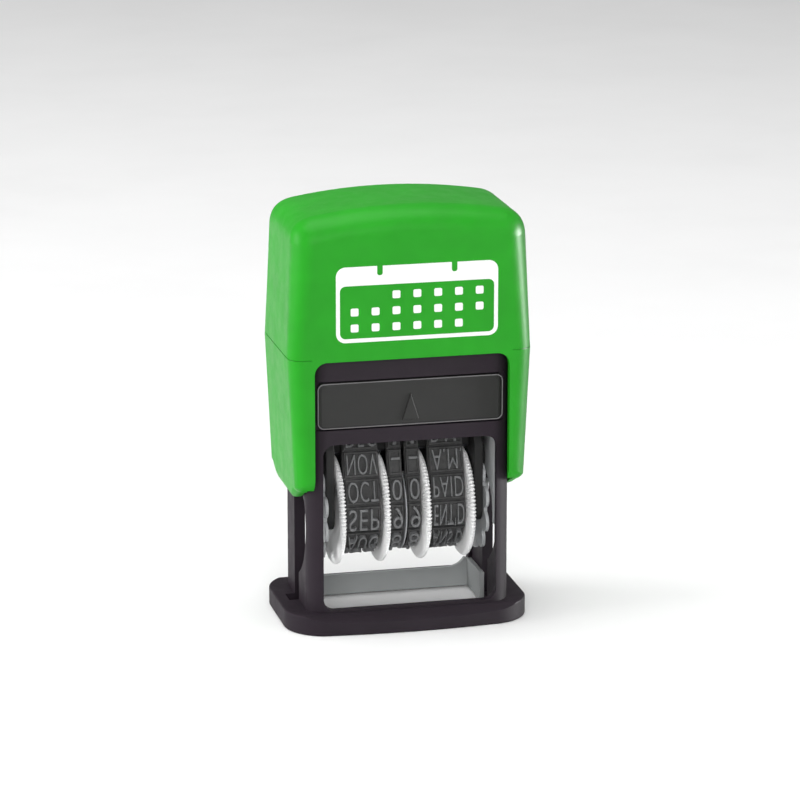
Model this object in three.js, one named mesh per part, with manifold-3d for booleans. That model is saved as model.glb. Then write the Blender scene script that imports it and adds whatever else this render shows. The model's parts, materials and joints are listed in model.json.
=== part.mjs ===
// Self-inking rotary date stamp, in millimetres.
//
// The origin is on the ground under the middle of the foot. +Z is up, -Y is the front with the window, and +X is to
// the right of someone who looks at the front. The cap is up, so the date unit hangs upside down from the yoke: its
// type faces up against the ink pad, and its thumbwheels hang in the window.
import * as THREE from "three";
import { mergeVertices } from "three/addons/utils/BufferGeometryUtils.js";
import Module from "manifold-3d";

const wasm = await Module();
wasm.setup();

// Clearances
const seatGap = 0.05; // between pieces that are fixed to each other
const plateGap = 0.1; // beside the yoke's arms, which slide between flat plates
const shaftGap = 0.08; // round a shaft that turns
const slideGap = 0.25; // round the cap and the ink pad tray, which slide
const swingGap = 0.3; // beside the date unit and above its type
const bandGap = 0.2; // between a band and what it runs past

// Thumbwheels, bands and type
const wheelRadius = 8.94;
const rimThickness = 1.05;
const rimBevel = 0.3;
const drumRadius = 5.2;
const axleRadius = 1.3;
const axleHeight = 17.45; // above the ground, with the cap up
const spacerRadius = 7.2;
const spacerThickness = 0.16;
const wideBand = 5.75; // months and words
const narrowBand = 2.3; // tens and units
const bandThickness = 1.3;
const typeRelief = 0.7;
const typeHeight = 3.5;
const typeRows = 13;
const platenHalfFlat = 1.9;
const platenCorner = 0.5;

// Date unit
const pivotToType = 8;
const pivotRadius = 1.2;
const turnPinOffset = 5;
const turnPinRadius = 1.1;
const carriagePlate = 1.4;
const carriageHalfDepth = 5.8;
const carriageShoulder = 4.2; // half depth at its upper end
const carriageShoulderDrop = 2.8;
const carriageTopDrop = 1.7; // below the type
const carriageFoot = 2.4; // below the axle
const carriageCorner = 2.2;
const camThickness = 0.5;
const camBoss = 2.6;
const camDisc = 6.5;
const camLobes = 10;
const camLobeRadius = 1.65;
const combThickness = 0.28;
const combHalfDepth = 1.6;
const fingerReach = 0.9; // how far a finger's elbow stands out from the leaf
const fingerTip = 0.5;
const fingerWidth = 1.4;
const blockGap = 0.71; // above the thumbwheels' rims
const blockCorner = 0.45;

// Yoke
const armThickness = 0.5;
const armHalfDepth = 4.5;
const armHookDepth = 5;
const armBoss = 2.3;
const crossThickness = 1.5;
const crossHalfDepth = 6.2;

// Base frame
const sideWall = 1.75;
const frontWall = 1.4;
const frameHalfDepth = 9.7;
const frameCorner = 3;
const frameTop = 46.5;
const windowSide = 2.36; // frame beside the window
const windowSill = 3.4;
const windowCorner = 1.9;
const padUnderside = 33;
const barThickness = 2.35; // crossbar between the window and the tray
const barGap = 0.15; // between the crossbar and the pad's underside
const trayHeight = 7.5;
const deckThickness = 1.5;
const ledgeThickness = 1.25;
const ledgeDepth = 2.8;
const postRadius = 2.6;
const postHeight = 2.2;
const slotHalfWidth = 1.6;
const slotBottom = 1.1;
const recessReach = 7.1; // how far the cam recess bulges to the front
const recessHalfHeight = 8.7;
const footSide = 3.29; // how far the foot stands out from the frame's sides
const footFront = 2.4; // and from its front, where the corners end
const footBulge = 0.7;
const footCorner = 6.6;
const footHeight = 3.1;
const footEdge = 1.93; // height of the front and back edges
const footSlope = 0.49;
const notchDepth = 2.5; // how far the side slot runs out into the foot

// Grey fittings in the frame
const guidePlate = 0.5;
const guideBottom = 15.3;
const guideTop = 31.2;
const guideCorner = 0.4;
const bridgeThickness = 0.8;
const bridgeBarHeight = 3.6;
const bridgeEndHeight = 4.9;
const bridgeEndLength = 8.9;
const bridgeLift = 0.25;
const bridgeInset = 0.2; // how far the bar stands in from the rear wall's inner face

// Ink pad tray
const trayFace = 0.8;
const trayFaceSide = 1.46; // frame beside the tray's face
const traySideGap = 0.86; // beside the tray, towards the yoke's arms
const trayWall = 1.2;
const feltThickness = 3.1;
const feltHalfDepth = 6.5;
const feltStandout = 0.1; // below the tray
const markWidth = 2.7;
const markHeight = 4.2;
const markRelief = 0.15;
const markLift = 0.9; // above the tray's lower edge

// Cap
const capFrontWall = 1.2;
const capSideWall = 1.84; // at the legs
const capEdge = 2.5;
const capTop = 68;
const capWall = 1.9;
const legBottom = 20.2; // in the middle of the depth
const legRise = 2.5; // of the legs' lower edge, towards the front and the back
const legEnd = 3; // round the lower edge's front and back ends
const legCorner = 2.6;
const capFlare = 1; // how much wider the cap is at its widest than at the legs
const shoulderFlare = 0.27;
const shoulderRound = 3.72;
const shoulderDrop = 5.4; // below the top
const archRise = 1.28;
const cutoutSide = 0.76; // how much narrower the cut-out is than the frame
const cutoutAboveTray = 3.7;
const cutoutCorner = 2;
const cavityCorner = 2;
const capBossRadius = 1.6;
const capBossOffset = 9.5;
const widestAboveCutout = 0.2;

// Return spring
const springRadius = 3.6;
const springWire = 0.45;
const springTurns = 5;

// Where the layers lie, going out from the middle. The order from the wheels is: carriage plate, turn cam, yoke arm,
// guide plate, side wall.
const narrowIn = spacerThickness / 2 + bandGap;
const innerRimIn = narrowIn + narrowBand + bandGap;
const wideIn = innerRimIn + rimThickness + bandGap;
const outerRimIn = wideIn + wideBand + bandGap;
const carriageIn = outerRimIn + rimThickness + swingGap;
const camIn = carriageIn + carriagePlate + seatGap;
const armIn = camIn + camThickness + shaftGap + plateGap;
const guideIn = armIn + armThickness + plateGap;
const wallIn = guideIn + guidePlate + seatGap;
const frameHalfWidth = wallIn + sideWall;
const pinEnd = frameHalfWidth - slideGap;

// Heights that follow from the sizes above
const typeAtRest = padUnderside - swingGap;
const pivotHeight = typeAtRest - pivotToType;
const pivotPressed = pivotToType;
const stroke = pivotHeight - pivotPressed;
const axleDrop = pivotHeight - axleHeight;
const bandTotal = bandThickness + typeRelief;
const platenCentre = pivotToType - bandTotal - platenCorner;
const blockBottom = wheelRadius - axleDrop + blockGap;
const trayFloor = padUnderside + feltStandout;
const trayTop = padUnderside + trayHeight;
const deckBottom = trayTop + slideGap;
const deckTop = deckBottom + deckThickness;
const barTop = padUnderside - barGap;
const windowTop = barTop - barThickness;
const cavityHalfWidth = frameHalfWidth + slideGap;
const cavityHalfDepth = frameHalfDepth + slideGap;
const cavityTop = capTop - capWall;
const crossTop = cavityTop - capWall - archRise;
const roomHalfDepth = frameHalfDepth - frontWall;
const windowHalfWidth = frameHalfWidth - windowSide;
const guideHalfDepth = roomHalfDepth - plateGap;
const bridgeFront = roomHalfDepth - bridgeInset;
const bridgeBack = bridgeFront + bridgeThickness;
const trayFaceHalfWidth = frameHalfWidth - trayFaceSide;
const trayHalfWidth = armIn - traySideGap;
const trayBack = roomHalfDepth - slideGap;
const footHalfWidth = frameHalfWidth + footSide;
const footHalfDepth = frameHalfDepth + footFront;
const capHalfDepth = cavityHalfDepth + capFrontWall;
const legHalfWidth = cavityHalfWidth + capSideWall;
const capWidest = legHalfWidth + capFlare;
const shoulderHalfWidth = legHalfWidth + shoulderFlare;
const shoulderHeight = capTop - shoulderDrop;
const archHalfWidth = shoulderHalfWidth - shoulderRound;
const cutoutHalfWidth = frameHalfWidth - cutoutSide;
const cutoutTop = trayTop + cutoutAboveTray;
const widestHeight = cutoutTop + widestAboveCutout;

const far = 60; // longer than any cut

// ---- Solids ----------------------------------------------------------------------------------------------------

function solidOf(geometry) {
  const bare = geometry.index ? geometry.toNonIndexed() : geometry.clone();
  bare.deleteAttribute("normal");
  bare.deleteAttribute("uv");
  const merged = mergeVertices(bare, 1e-4);
  return new wasm.Manifold(
    new wasm.Mesh({
      numProp: 3,
      vertProperties: merged.attributes.position.array,
      triVerts: new Uint32Array(merged.index.array),
    }),
  );
}

function geometryOf(solid) {
  const mesh = solid.getMesh();
  const geometry = new THREE.BufferGeometry();
  geometry.setAttribute("position", new THREE.BufferAttribute(mesh.vertProperties, 3));
  geometry.setIndex(new THREE.BufferAttribute(mesh.triVerts, 1));
  const faceted = geometry.toNonIndexed();
  faceted.computeVertexNormals();
  return faceted;
}

const joined = (...solids) => solids.reduce((whole, next) => whole.add(next));
const cut = (solid, ...tools) => tools.reduce((whole, next) => whole.subtract(next), solid);

function box(x0, x1, y0, y1, z0, z1) {
  const geometry = new THREE.BoxGeometry(x1 - x0, y1 - y0, z1 - z0);
  return solidOf(geometry.translate((x0 + x1) / 2, (y0 + y1) / 2, (z0 + z1) / 2));
}

// The same box on the left and on the right.
const boxPair = (x0, x1, y0, y1, z0, z1) =>
  box(x0, x1, y0, y1, z0, z1).add(box(-x1, -x0, y0, y1, z0, z1));

function extruded(shape, depth, bevel = 0) {
  return new THREE.ExtrudeGeometry(shape, {
    depth: depth - 2 * bevel,
    bevelEnabled: bevel > 0,
    bevelThickness: bevel,
    bevelSize: bevel,
    bevelOffset: -bevel,
    bevelSegments: 3,
    curveSegments: 8,
  }).translate(0, 0, bevel);
}

// A shape drawn in X and Y, extruded up from z0 to z1.
const plateUp = (shape, z0, z1) => solidOf(extruded(shape, z1 - z0).translate(0, 0, z0));

// A shape drawn in X and Z, extruded from y0 back to y1.
const plateBack = (shape, y0, y1, bevel) =>
  solidOf(extruded(shape, y1 - y0, bevel).rotateX(Math.PI / 2).translate(0, y1, 0));

// A shape drawn in Y and Z, extruded from x0 to x1.
const turnAcross = new THREE.Matrix4().makeBasis(
  new THREE.Vector3(0, 1, 0),
  new THREE.Vector3(0, 0, 1),
  new THREE.Vector3(1, 0, 0),
);
const plateAcross = (shape, x0, x1) =>
  solidOf(extruded(shape, x1 - x0).applyMatrix4(turnAcross).translate(x0, 0, 0));

function shaftAcross(radius, x0, x1, y, z, sides = 20) {
  const geometry = new THREE.CylinderGeometry(radius, radius, x1 - x0, sides);
  return solidOf(geometry.rotateZ(Math.PI / 2).translate((x0 + x1) / 2, y, z));
}

function postUp(radius, z0, z1, x = 0, y = 0) {
  const geometry = new THREE.CylinderGeometry(radius, radius, z1 - z0, 24);
  return solidOf(geometry.rotateX(Math.PI / 2).translate(x, y, (z0 + z1) / 2));
}

function roundedRect(left, right, low, high, radius) {
  const shape = new THREE.Shape();
  shape.moveTo(left + radius, low);
  shape.lineTo(right - radius, low);
  shape.absarc(right - radius, low + radius, radius, -Math.PI / 2, 0);
  shape.absarc(right - radius, high - radius, radius, 0, Math.PI / 2);
  shape.absarc(left + radius, high - radius, radius, Math.PI / 2, Math.PI);
  shape.absarc(left + radius, low + radius, radius, Math.PI, Math.PI * 1.5);
  return shape;
}

const mirrored = (solid) => solid.mirror([1, 0, 0]);

const model = new THREE.Group();

function place(group, name, geometry, look, position = [0, 0, 0]) {
  const material = new THREE.MeshStandardMaterial(look);
  const mesh = new THREE.Mesh(geometry, material);
  mesh.name = name;
  mesh.position.set(...position);
  group.add(mesh);
  return mesh;
}

// ---- Looks -----------------------------------------------------------------------------------------------------

const looks = {
  green: { color: 0x30a12f, roughness: 0.42, metalness: 0 },
  black: { color: 0x38333a, roughness: 0.5, metalness: 0 },
  drawer: { color: 0x343434, roughness: 0.55, metalness: 0 },
  darkPlate: { color: 0x2f2f30, roughness: 0.5, metalness: 0 },
  grey: { color: 0x84888a, roughness: 0.5, metalness: 0 },
  paleGrey: { color: 0xc9cccd, roughness: 0.45, metalness: 0 },
  white: { color: 0xf4f4f4, roughness: 0.4, metalness: 0 },
  rubber: { color: 0x474747, roughness: 0.8, metalness: 0 },
  felt: { color: 0x1b1b22, roughness: 1, metalness: 0 },
  steel: { color: 0xb8babc, roughness: 0.3, metalness: 1 },
};

// ---- Base frame and what is fixed in it --------------------------------------------------------------------------

// The foot from above: round corners and slightly bowed front and back edges.
function footOutline() {
  const shape = new THREE.Shape();
  const x = footHalfWidth - footCorner;
  const y = footHalfDepth - footCorner;
  const bow = footHalfDepth + 2 * footBulge;
  shape.moveTo(-x, -footHalfDepth);
  shape.quadraticCurveTo(0, -bow, x, -footHalfDepth);
  shape.absarc(x, -y, footCorner, -Math.PI / 2, 0);
  shape.absarc(x, y, footCorner, 0, Math.PI / 2);
  shape.quadraticCurveTo(0, bow, -x, footHalfDepth);
  shape.absarc(-x, y, footCorner, Math.PI / 2, Math.PI);
  shape.absarc(-x, -y, footCorner, Math.PI, Math.PI * 1.5);
  return shape;
}

// The foot's section from front to back: low edges that slope up to the walls.
function footSection() {
  const edge = footHalfDepth + footBulge;
  const flat = edge - (footHeight - footEdge) / footSlope;
  const section = new THREE.Shape();
  section.moveTo(-edge, 0);
  section.lineTo(edge, 0);
  section.lineTo(edge, footEdge);
  section.lineTo(flat, footHeight);
  section.lineTo(-flat, footHeight);
  section.lineTo(-edge, footEdge);
  return section;
}

// The side slot guides both pins. It bulges to the front where the turn pin swings round.
function sideSlot() {
  const middle = (pivotHeight + pivotPressed) / 2;
  const top = pivotHeight + slotHalfWidth;
  const sagitta = recessReach - slotHalfWidth;
  const radius = (recessHalfHeight ** 2 + sagitta ** 2) / (2 * sagitta);
  const half = Math.asin(recessHalfHeight / radius);
  const shape = new THREE.Shape();
  shape.moveTo(-slotHalfWidth, slotBottom);
  shape.lineTo(slotHalfWidth, slotBottom);
  shape.lineTo(slotHalfWidth, top);
  shape.absarc(0, top, slotHalfWidth, 0, Math.PI);
  shape.absarc(radius - recessReach, middle, radius, Math.PI - half, Math.PI + half);
  return shape;
}

function baseFrame() {
  const plan = roundedRect(
    -frameHalfWidth,
    frameHalfWidth,
    -frameHalfDepth,
    frameHalfDepth,
    frameCorner,
  );
  const foot = plateUp(footOutline(), 0, footHeight).intersect(
    plateAcross(footSection(), -far, far),
  );
  const shell = cut(
    joined(plateUp(plan, 0, frameTop), foot),
    box(-wallIn, wallIn, -roomHalfDepth, roomHalfDepth, -far, far),
  );
  const deckHalfWidth = armIn - slideGap;
  const ledgeIn = trayHalfWidth - 1;
  const ledgeBottom = barTop - ledgeThickness;
  const ledgeFront = roomHalfDepth - ledgeDepth;
  const lip = 0.3; // how far the inner pieces run into the walls
  const deckDepth = roomHalfDepth + lip;
  const deck = box(-deckHalfWidth, deckHalfWidth, -deckDepth, deckDepth, deckBottom, deckTop);
  const ledges = joined(
    boxPair(ledgeIn, wallIn + lip, -deckDepth, -ledgeFront, ledgeBottom, barTop),
    boxPair(ledgeIn, wallIn + lip, ledgeFront, deckDepth, ledgeBottom, barTop),
  );
  const window = roundedRect(
    -windowHalfWidth,
    windowHalfWidth,
    windowSill,
    windowTop,
    windowCorner,
  );
  const faceWidth = trayFaceHalfWidth + slideGap;
  const faceBack = trayFace + seatGap - frameHalfDepth;
  const bodyWidth = trayHalfWidth + slideGap;
  const slot = sideSlot();
  const notchEnd = frameHalfWidth + notchDepth;
  return cut(
    joined(shell, deck, ledges, postUp(postRadius, deckTop - lip, deckTop + postHeight)),
    plateBack(window, -far, far),
    box(-faceWidth, faceWidth, -far, faceBack, barTop, deckBottom),
    box(-bodyWidth, bodyWidth, -far, 0, barTop, deckBottom),
    box(-wallIn, wallIn, 0, bridgeBack + seatGap, -far, bridgeEndHeight + seatGap),
    plateAcross(slot, wallIn - lip, far),
    plateAcross(slot, -far, lip - wallIn),
    boxPair(wallIn, notchEnd, -slotHalfWidth, slotHalfWidth, slotBottom, footHeight),
  );
}

function guidePlateSolid() {
  const outline = roundedRect(-guideHalfDepth, guideHalfDepth, guideBottom, guideTop, guideCorner);
  const pinRoom = turnPinOffset + turnPinRadius + 2 * swingGap;
  const middle = (pivotHeight + pivotPressed) / 2;
  const half = pivotRadius + swingGap;
  return cut(
    plateAcross(outline, guideIn, guideIn + guidePlate),
    shaftAcross(pinRoom, 0, far, 0, middle, 32),
    box(0, far, -half, half, 0, pivotHeight + half),
  );
}

function rearBridge() {
  const outer = wallIn - seatGap;
  const ends = bridgeBack - bridgeEndLength;
  return joined(
    box(-outer, outer, bridgeFront, bridgeBack, bridgeLift, bridgeBarHeight),
    boxPair(outer - bridgeThickness, outer, ends, bridgeBack, bridgeLift, bridgeEndHeight),
  );
}

// ---- Ink pad tray ------------------------------------------------------------------------------------------------

function inkPadTray() {
  const faceBack = trayFace - frameHalfDepth;
  const face = plateUp(
    roundedRect(
      -frameHalfWidth,
      frameHalfWidth,
      -frameHalfDepth,
      frameHalfDepth,
      frameCorner,
    ),
    trayFloor,
    trayTop,
  ).intersect(
    box(-trayFaceHalfWidth, trayFaceHalfWidth, -far, faceBack, trayFloor - 1, trayTop + 1),
  );
  const body = box(-trayHalfWidth, trayHalfWidth, faceBack - 0.2, trayBack, trayFloor, trayTop);
  const padWidth = trayHalfWidth - trayWall;
  const padDepth = feltHalfDepth + seatGap;
  const padTop = padUnderside + feltThickness + seatGap;
  const mark = new THREE.Shape();
  mark.moveTo(-markWidth / 2, trayFloor + markLift);
  mark.lineTo(markWidth / 2, trayFloor + markLift);
  mark.lineTo(0, trayFloor + markLift + markHeight);
  return cut(
    joined(face, body, plateBack(mark, -frameHalfDepth - markRelief, faceBack)),
    box(-padWidth, padWidth, -padDepth, padDepth, 0, padTop),
    box(-padWidth, padWidth, -padDepth, padDepth, padTop + trayWall, far),
  );
}

// ---- Date unit, drawn about its pivot -----------------------------------------------------------------------------

// A thumbwheel with its drum, drawn along +X from the outer face of its rim, with the axle on the X axis.
function thumbwheel(drumLength) {
  const bore = axleRadius + shaftGap;
  const end = rimThickness + bandGap + drumLength;
  const profile = [
    [bore, 0],
    [wheelRadius - rimBevel, 0],
    [wheelRadius, rimBevel],
    [wheelRadius, rimThickness - rimBevel],
    [wheelRadius - rimBevel, rimThickness],
    [drumRadius, rimThickness],
    [drumRadius, end],
    [bore, end],
    [bore, 0],
  ].map(([r, x]) => new THREE.Vector2(r, x));
  return new THREE.LatheGeometry(profile, 36).rotateZ(-Math.PI / 2);
}

// The path of a band round its drum and over the platen. It gives a point and the outward direction there, for a
// distance along the band's outer face from the middle of the type that prints, going to the back.
function bandPath() {
  const drum = drumRadius + bandGap + bandThickness;
  const corner = platenCorner + bandThickness;
  const top = platenCentre + axleDrop;
  const reach = Math.hypot(platenHalfFlat, top);
  const lean = Math.atan2(top, platenHalfFlat) - Math.acos((drum - corner) / reach);
  const straight = Math.sqrt(reach ** 2 - (drum - corner) ** 2);
  const cornerEnd = platenHalfFlat + corner * (Math.PI / 2 - lean);
  const straightEnd = cornerEnd + straight;
  const half = straightEnd + drum * (Math.PI / 2 + lean);
  const onHalf = (s) => {
    if (s <= platenHalfFlat) {
      return { y: s, z: top + corner, angle: Math.PI / 2 };
    }
    if (s <= cornerEnd) {
      const angle = Math.PI / 2 - (s - platenHalfFlat) / corner;
      const y = platenHalfFlat + corner * Math.cos(angle);
      return { y, z: top + corner * Math.sin(angle), angle };
    }
    if (s <= straightEnd) {
      const along = s - cornerEnd;
      const y = platenHalfFlat + corner * Math.cos(lean) + along * Math.sin(lean);
      return { y, z: top + corner * Math.sin(lean) - along * Math.cos(lean), angle: lean };
    }
    const angle = lean - (s - straightEnd) / drum;
    return { y: drum * Math.cos(angle), z: drum * Math.sin(angle), angle };
  };
  const pointAt = (s, out) => {
    const wrapped = s - 2 * half * Math.round(s / (2 * half));
    const side = wrapped < 0 ? -1 : 1;
    const { y, z, angle } = onHalf(Math.abs(wrapped));
    return new THREE.Vector2(side * (y + out * Math.cos(angle)), z + out * Math.sin(angle));
  };
  return { length: 2 * half, pointAt };
}

// A closed outline without the points that lie in the middle of a straight stretch.
function withoutStraightPoints(points) {
  const least = 1e-4;
  return points.filter((point, k) => {
    const before = points[(k + points.length - 1) % points.length];
    const after = points[(k + 1) % points.length];
    const run = point.clone().sub(before).normalize();
    return Math.abs(run.cross(after.clone().sub(point).normalize())) > least;
  });
}

// A band with a raised plate for each row of type.
function dateBand(width) {
  const path = bandPath();
  const pitch = path.length / typeRows;
  const plateSteps = 5;
  const gapSteps = 2;
  const outer = [];
  for (let row = 0; row < typeRows; row += 1) {
    const middle = row * pitch;
    for (let step = 0; step <= plateSteps; step += 1) {
      const s = middle + typeHeight * (step / plateSteps - 0.5);
      outer.push(path.pointAt(s, typeRelief));
    }
    const gap = pitch - typeHeight;
    for (let step = 0; step <= gapSteps; step += 1) {
      outer.push(path.pointAt(middle + typeHeight / 2 + (gap * step) / gapSteps, 0));
    }
  }
  const innerSteps = 72;
  const inner = [];
  for (let step = 0; step < innerSteps; step += 1) {
    inner.push(path.pointAt((path.length * step) / innerSteps, -bandThickness));
  }
  const shape = new THREE.Shape(withoutStraightPoints(outer.reverse()));
  shape.holes.push(new THREE.Path(withoutStraightPoints(inner)));
  return plateAcross(shape, -width / 2, width / 2);
}

function carriagePlateSolid() {
  const top = pivotToType - carriageTopDrop;
  const low = -axleDrop - carriageFoot;
  const y = carriageHalfDepth;
  const shape = new THREE.Shape();
  shape.moveTo(-y + carriageCorner, low);
  shape.lineTo(y - carriageCorner, low);
  shape.absarc(y - carriageCorner, low + carriageCorner, carriageCorner, -Math.PI / 2, 0);
  shape.lineTo(y, top - carriageShoulderDrop);
  shape.lineTo(carriageShoulder, top);
  shape.lineTo(-carriageShoulder, top);
  shape.lineTo(-y, top - carriageShoulderDrop);
  shape.absarc(carriageCorner - y, low + carriageCorner, carriageCorner, Math.PI, Math.PI * 1.5);
  return cut(
    plateAcross(shape, carriageIn, carriageIn + carriagePlate),
    shaftAcross(pivotRadius + seatGap, 0, far, 0, 0),
    shaftAcross(axleRadius + seatGap, 0, far, 0, -axleDrop),
  );
}

// A lobed disc about the axle, with a web up to the pivot and the stub that turns the date unit over.
function turnCam() {
  const end = camIn + camThickness;
  const lobes = Array.from({ length: camLobes }, (_, k) => {
    const angle = (2 * Math.PI * k) / camLobes;
    const y = camDisc * Math.sin(angle);
    const z = camDisc * Math.cos(angle) - axleDrop;
    return shaftAcross(camLobeRadius, camIn, end, y, z, 12);
  });
  const web = new THREE.Shape();
  web.moveTo(-camBoss, 0);
  web.lineTo(-camBoss, -axleDrop);
  web.lineTo(camBoss, -axleDrop);
  web.lineTo(camBoss, 0);
  return cut(
    joined(
      shaftAcross(camDisc, camIn, end, 0, -axleDrop, 30),
      ...lobes,
      plateAcross(web, camIn, end),
      shaftAcross(camBoss, camIn, end, 0, 0, 28),
      shaftAcross(turnPinRadius, camIn, pinEnd, 0, -turnPinOffset, 16),
    ),
    shaftAcross(pivotRadius + seatGap, 0, far, 0, 0),
    shaftAcross(axleRadius + seatGap, 0, far, 0, -axleDrop),
  );
}

function printBlock() {
  const top = platenCentre + platenCorner - plateGap;
  const halfDepth = platenHalfFlat + platenCorner - plateGap;
  const outline = roundedRect(-halfDepth, halfDepth, blockBottom, top, blockCorner);
  const halfWidth = carriageIn - seatGap;
  return plateAcross(outline, -halfWidth, halfWidth);
}

// A leaf under the print block, with a bent finger down to each drum.
function detentSpring() {
  const top = blockBottom - seatGap;
  const low = top - combThickness;
  const halfWidth = carriageIn - seatGap;
  const leaf = box(-halfWidth, halfWidth, -combHalfDepth, combHalfDepth, low, top);
  const drumTop = drumRadius - axleDrop;
  const tip = drumTop + bandGap;
  const bend = combHalfDepth + fingerReach;
  const root = combHalfDepth - combThickness;
  const elbow = (top + tip) / 2;
  const finger = new THREE.Shape();
  finger.moveTo(root, top);
  finger.lineTo(combHalfDepth, top);
  finger.lineTo(bend + combThickness, elbow);
  finger.lineTo(0, tip);
  finger.lineTo(-fingerTip, tip + combThickness);
  finger.lineTo(0, tip + 1.3 * combThickness);
  finger.lineTo(bend, elbow);
  finger.lineTo(root, low);
  const centres = [narrowIn + narrowBand / 2, wideIn + wideBand / 2];
  const fingers = centres
    .flatMap((x) => [-x, x])
    .map((x) => plateAcross(finger, x - fingerWidth / 2, x + fingerWidth / 2));
  return joined(leaf, ...fingers);
}

// ---- Yoke and cap -------------------------------------------------------------------------------------------------

// A crosspiece under the cap's roof, with an arm down each side. Below the ink pad an arm is a hook that stays behind
// the turn pin's path and holds the pivot.
function yoke() {
  const crossBottom = crossTop - crossThickness;
  const armOut = armIn + armThickness;
  const hookTop = pivotHeight + turnPinOffset + turnPinRadius + 2 * swingGap;
  const hookFront = turnPinRadius + swingGap;
  const cross = box(-armOut, armOut, -crossHalfDepth, crossHalfDepth, crossBottom, crossTop);
  const arm = boxPair(armIn, armOut, -armHalfDepth, armHalfDepth, hookTop, crossTop);
  const hook = boxPair(armIn, armOut, hookFront, armHookDepth, pivotHeight, hookTop + 1);
  const sole = boxPair(armIn, armOut, 0, armHookDepth, pivotHeight - armBoss, pivotHeight);
  const boss = shaftAcross(armBoss, armIn, armOut, 0, pivotHeight, 28);
  return cut(
    joined(cross, arm, hook, sole, boss, mirrored(boss)),
    postUp(springRadius + springWire + 1, crossBottom - 1, crossTop + 1),
    shaftAcross(pivotRadius + shaftGap, -far, far, 0, pivotHeight),
  );
}

// The cap from the front: straight sides that are widest at mid height, round shoulders and an arched top.
function capOutline() {
  const archFoot = capTop - archRise;
  const slope = (2 * archRise) / archHalfWidth;
  const cornerHeight = archFoot - slope * (shoulderHalfWidth - archHalfWidth);
  const shape = new THREE.Shape();
  shape.moveTo(legCorner - legHalfWidth, legBottom);
  shape.lineTo(legHalfWidth - legCorner, legBottom);
  shape.absarc(legHalfWidth - legCorner, legBottom + legCorner, legCorner, -Math.PI / 2, 0);
  shape.lineTo(capWidest, widestHeight);
  shape.lineTo(shoulderHalfWidth, shoulderHeight);
  shape.quadraticCurveTo(shoulderHalfWidth, cornerHeight, archHalfWidth, archFoot);
  shape.quadraticCurveTo(0, capTop + archRise, -archHalfWidth, archFoot);
  shape.quadraticCurveTo(-shoulderHalfWidth, cornerHeight, -shoulderHalfWidth, shoulderHeight);
  shape.lineTo(-capWidest, widestHeight);
  shape.absarc(
    legCorner - legHalfWidth,
    legBottom + legCorner,
    legCorner,
    Math.PI,
    Math.PI * 1.5,
  );
  return shape;
}

// The hollow inside the cap, whose roof follows the arch.
function cavityOutline() {
  const archFoot = cavityTop - archRise;
  const corner = cavityCorner;
  const shape = new THREE.Shape();
  shape.moveTo(-cavityHalfWidth, 0);
  shape.lineTo(cavityHalfWidth, 0);
  shape.lineTo(cavityHalfWidth, archFoot - corner);
  shape.quadraticCurveTo(cavityHalfWidth, archFoot, cavityHalfWidth - corner, archFoot);
  shape.quadraticCurveTo(0, cavityTop + archRise, corner - cavityHalfWidth, archFoot);
  shape.quadraticCurveTo(-cavityHalfWidth, archFoot, -cavityHalfWidth, archFoot - corner);
  return shape;
}

// The cap from the side: the lower edge is a shallow curve with round ends.
function capSide() {
  const flat = capHalfDepth - legEnd;
  const radius = (flat * flat + legRise * legRise) / (2 * legRise);
  const turn = Math.asin(flat / radius);
  const endHeight = legBottom + legRise + legEnd;
  const shape = new THREE.Shape();
  shape.moveTo(-far, far + capTop);
  shape.lineTo(-far, endHeight);
  shape.lineTo(-capHalfDepth, endHeight);
  shape.absarc(-flat, endHeight, legEnd, Math.PI, Math.PI * 1.5);
  shape.absarc(0, legBottom + radius, radius, -Math.PI / 2 - turn, -Math.PI / 2 + turn);
  shape.absarc(flat, endHeight, legEnd, -Math.PI / 2, 0);
  shape.lineTo(far, endHeight);
  shape.lineTo(far, far + capTop);
  return shape;
}

function cap() {
  const cutout = roundedRect(-cutoutHalfWidth, cutoutHalfWidth, 0, cutoutTop, cutoutCorner);
  const bossBottom = crossTop + seatGap;
  const block = plateBack(capOutline(), -capHalfDepth, capHalfDepth, capEdge);
  const shell = cut(
    block.intersect(plateAcross(capSide(), -far, far)),
    plateBack(cavityOutline(), -cavityHalfDepth, cavityHalfDepth),
    plateBack(cutout, -far, far),
  );
  return joined(
    shell,
    postUp(capBossRadius, bossBottom, cavityTop + 0.5, -capBossOffset),
    postUp(capBossRadius, bossBottom, cavityTop + 0.5, capBossOffset),
  );
}

class Helix extends THREE.Curve {
  constructor(radius, turns, height) {
    super();
    Object.assign(this, { radius, turns, height });
  }

  getPoint(t, target = new THREE.Vector3()) {
    const angle = 2 * Math.PI * this.turns * t;
    const x = this.radius * Math.cos(angle);
    return target.set(x, this.radius * Math.sin(angle), this.height * t);
  }
}

function returnSpring() {
  const gap = springWire + seatGap;
  const wire = new THREE.Shape();
  wire.absarc(0, 0, springWire, 0, 2 * Math.PI);
  return new THREE.ExtrudeGeometry(wire, {
    extrudePath: new Helix(springRadius, springTurns, cavityTop - deckTop - 2 * gap),
    steps: springTurns * 12,
    curveSegments: 3,
  });
}

// ---- Assembly -----------------------------------------------------------------------------------------------------

place(model, "base_frame", geometryOf(baseFrame()), looks.black);
place(model, "rear_bridge", geometryOf(rearBridge()), looks.grey);
const guide = guidePlateSolid();
place(model, "guide_plate_right", geometryOf(guide), looks.grey);
place(model, "guide_plate_left", geometryOf(mirrored(guide)), looks.grey);

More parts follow.
